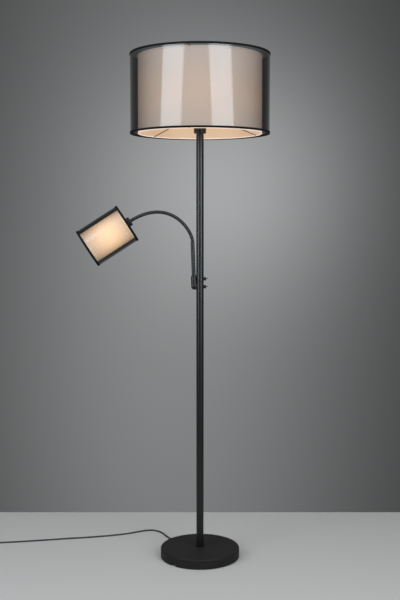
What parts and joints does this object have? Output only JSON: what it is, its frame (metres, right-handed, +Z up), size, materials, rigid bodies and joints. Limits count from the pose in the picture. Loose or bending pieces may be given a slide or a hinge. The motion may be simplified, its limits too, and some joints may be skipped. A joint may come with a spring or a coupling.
{
  "type": "floor lamp",
  "caption": "Standard floor lamp with a double drum shade of sheer cloth over a pale drum, and a gooseneck reading light with its own small double shade.",
  "frame": {"origin": "where the pole's axis meets the floor", "axes": "+Z up the pole; +X towards the switches, with the gooseneck on the -X side; -Y the front"},
  "size_m": [0.9466, 0.4377, 1.5],
  "materials": {
    "felt": "black felt",
    "cast_iron": "raw casting",
    "base_paint": "matte black powder coat",
    "steel": "zinc plated",
    "pole_paint": "satin black lacquer",
    "neck_paint": "satin black lacquer over a wound steel tube",
    "black_plastic": "moulded, fine grain",
    "cord_pvc": "soft black PVC",
    "bulb_cap_metal": "rolled thread",
    "opal_glass": "opal, lit warm",
    "wire_paint": "black lacquered wire",
    "shade_cloth": "cream cloth laminated on film, lit from inside",
    "organza": "sheer black organza with a sheen",
    "trim_tape": "woven black tape",
    "pin_metal": "nickel plated"
  },
  "bodies": {
    "stand": {"base_pad": "felt", "base_weight": "cast_iron", "base_cover": "base_paint", "base_nut": "steel", "base_nipple": "steel", "pole_foot": "steel", "pole_joiner_lower": "steel", "pole_joiner_upper": "steel", "pole_head": "steel", "arm_stud": "steel", "arm_nut": "steel", "holder_nipple": "steel", "cord_grommet": "cord_pvc", "supply_lead": "cord_pvc", "power_cord": "cord_pvc", "cord_coil": "cord_pvc", "cord_end": "cord_pvc", "pole_lower": "pole_paint", "pole_middle": "pole_paint", "pole_upper": "pole_paint", "arm_elbow": "pole_paint", "arm_collar": "pole_paint", "holder_cup": "pole_paint", "switch_nut_upper": "pole_paint", "switch_nut_lower": "pole_paint", "switch_body_upper": "black_plastic", "switch_body_lower": "black_plastic", "holder_barrel": "black_plastic", "holder_ring": "black_plastic", "plug_body": "black_plastic", "bulb_cap": "bulb_cap_metal", "bulb_glass": "opal_glass", "shade_frame_lower": "wire_paint", "shade_frame_upper": "wire_paint", "shade_inner": "shade_cloth", "shade_outer": "organza", "shade_trim_bottom": "trim_tape", "shade_trim_top": "trim_tape", "plug_pin_left": "pin_metal", "plug_pin_right": "pin_metal"},
    "arm": {"arm_sleeve": "pole_paint", "neck_link_1": "neck_paint"},
    "neck_2": {"neck_link_2": "neck_paint"},
    "neck_3": {"neck_link_3": "neck_paint"},
    "neck_4": {"neck_link_4": "neck_paint"},
    "neck_5": {"neck_link_5": "neck_paint"},
    "reading_head": {"head_cap": "pole_paint", "head_holder": "black_plastic", "head_ring": "black_plastic", "head_bulb_cap": "bulb_cap_metal", "head_bulb_glass": "opal_glass", "head_frame_back": "wire_paint", "head_frame_front": "wire_paint", "head_shade_inner": "shade_cloth", "head_shade_outer": "organza", "head_trim_back": "trim_tape", "head_trim_front": "trim_tape", "neck_link_6": "neck_paint"},
    "lever_upper": {"switch_lever_upper": "pole_paint"},
    "lever_lower": {"switch_lever_lower": "pole_paint"}
  },
  "joints": [
    {"name": "arm_swivel", "type": "hinge", "parent": "stand", "child": "arm", "pos_m": [-0.0202, 0, 0.9], "axis": [-0.0359, 0, 0.9994], "range_deg": [-90, 90]},
    {"name": "neck_bend_1", "type": "hinge", "parent": "arm", "child": "neck_2", "pos_m": [-0.02862, -0.00057, 0.97761], "axis": [0.101, -0.9949, 0.0036], "range_deg": [-12, 12]},
    {"name": "neck_bend_2", "type": "hinge", "parent": "neck_2", "child": "neck_3", "pos_m": [-0.05632, -0.00325, 1.01476], "axis": [0.101, -0.9949, 0.0036], "range_deg": [-12, 12]},
    {"name": "neck_bend_3", "type": "hinge", "parent": "neck_3", "child": "neck_4", "pos_m": [-0.0964, -0.00723, 1.03768], "axis": [0.101, -0.9949, 0.0036], "range_deg": [-12, 12]},
    {"name": "neck_bend_4", "type": "hinge", "parent": "neck_4", "child": "neck_5", "pos_m": [-0.14241, -0.01189, 1.04046], "axis": [0.101, -0.9949, 0.0036], "range_deg": [-12, 12]},
    {"name": "neck_bend_5", "type": "hinge", "parent": "neck_5", "child": "reading_head", "pos_m": [-0.18633, -0.0164, 1.02574], "axis": [0.101, -0.9949, 0.0036], "range_deg": [-12, 12]},
    {"name": "switch_upper", "type": "hinge", "parent": "stand", "child": "lever_upper", "pos_m": [0.0155, 0, 0.8445], "axis": [0, 1, 0], "range_deg": [0, 24]},
    {"name": "switch_lower", "type": "hinge", "parent": "stand", "child": "lever_lower", "pos_m": [0.0155, 0, 0.821], "axis": [0, 1, 0], "range_deg": [0, 24]}
  ]
}
